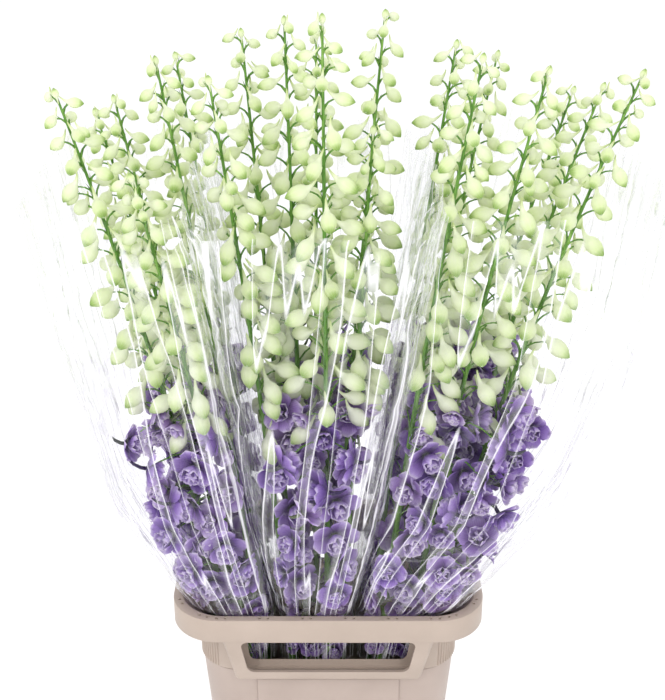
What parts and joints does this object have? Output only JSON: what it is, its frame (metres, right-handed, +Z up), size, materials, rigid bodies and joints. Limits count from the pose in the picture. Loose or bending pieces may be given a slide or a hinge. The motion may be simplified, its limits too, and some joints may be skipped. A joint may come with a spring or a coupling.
{
  "type": "bucket of cut delphinium stems",
  "caption": "Cut double delphinium stems in clear film sleeves, standing in water in a cream plastic flower bucket with a windowed collar.",
  "frame": {"origin": "middle of the bucket's foot, on the surface it stands on", "axes": "+Z up along the stems, +X to the right along the collar's long side, front at -Y"},
  "size_m": [0.702, 0.492, 1.1236],
  "materials": {
    "bucket_plastic": "moulded, satin",
    "collar_plastic": "moulded, satin",
    "water": null,
    "film": "clear crinkled film",
    "delphinium": "green stems and buds, lavender double blooms"
  },
  "bodies": {
    "root": {"bucket": "bucket_plastic", "collar": "collar_plastic", "water": "water", "sleeve_left": "film", "sleeve_centre": "film", "sleeve_right": "film", "stem_left_1": "delphinium", "stem_left_2": "delphinium", "stem_left_3": "delphinium", "stem_left_4": "delphinium", "stem_left_5": "delphinium", "stem_left_6": "delphinium", "stem_centre_1": "delphinium", "stem_centre_2": "delphinium", "stem_centre_3": "delphinium", "stem_centre_4": "delphinium", "stem_centre_5": "delphinium", "stem_centre_6": "delphinium", "stem_centre_7": "delphinium", "stem_right_1": "delphinium", "stem_right_2": "delphinium", "stem_right_3": "delphinium", "stem_right_4": "delphinium", "stem_right_5": "delphinium", "stem_right_6": "delphinium", "stem_right_7": "delphinium"}
  },
  "joints": []
}
